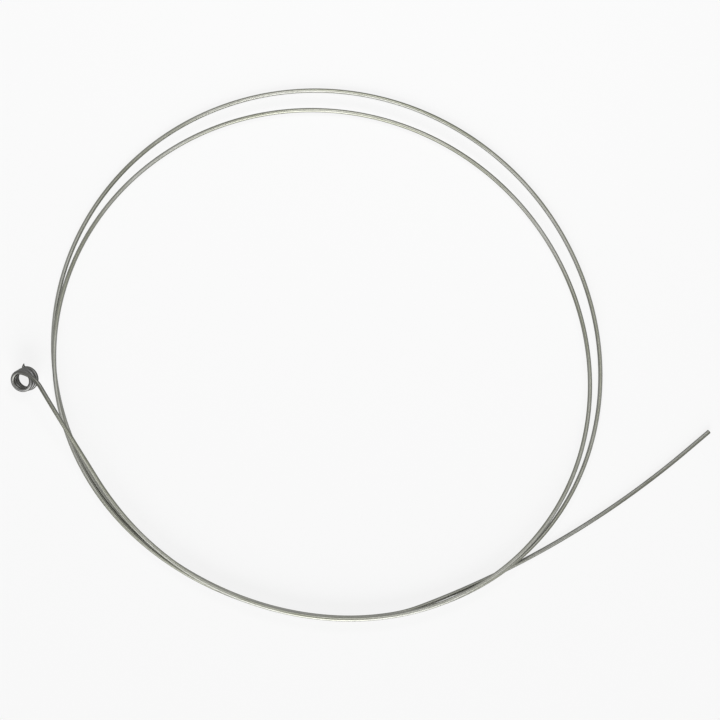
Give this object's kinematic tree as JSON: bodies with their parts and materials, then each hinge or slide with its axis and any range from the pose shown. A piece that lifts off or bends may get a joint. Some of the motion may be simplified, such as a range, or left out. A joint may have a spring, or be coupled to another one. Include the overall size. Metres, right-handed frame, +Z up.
{
  "type": "heater valve wire",
  "caption": "Stiff round steel wire with a close-wound eye at one end and a plain cut end at the other, coiled into a flat hank.",
  "frame": {"origin": "centre of the bounding box, at its lowest plane, on the surface that the hank lies on", "axes": "+Z up, square to the flat hank; +X along the longest extent, from the eye towards the plain end; +Y to the top of the picture"},
  "size_m": [0.2447, 0.1864, 0.0098],
  "materials": {
    "drawn_steel": "drawn, satin"
  },
  "bodies": {
    "root": {"wire": "drawn_steel"}
  },
  "joints": []
}
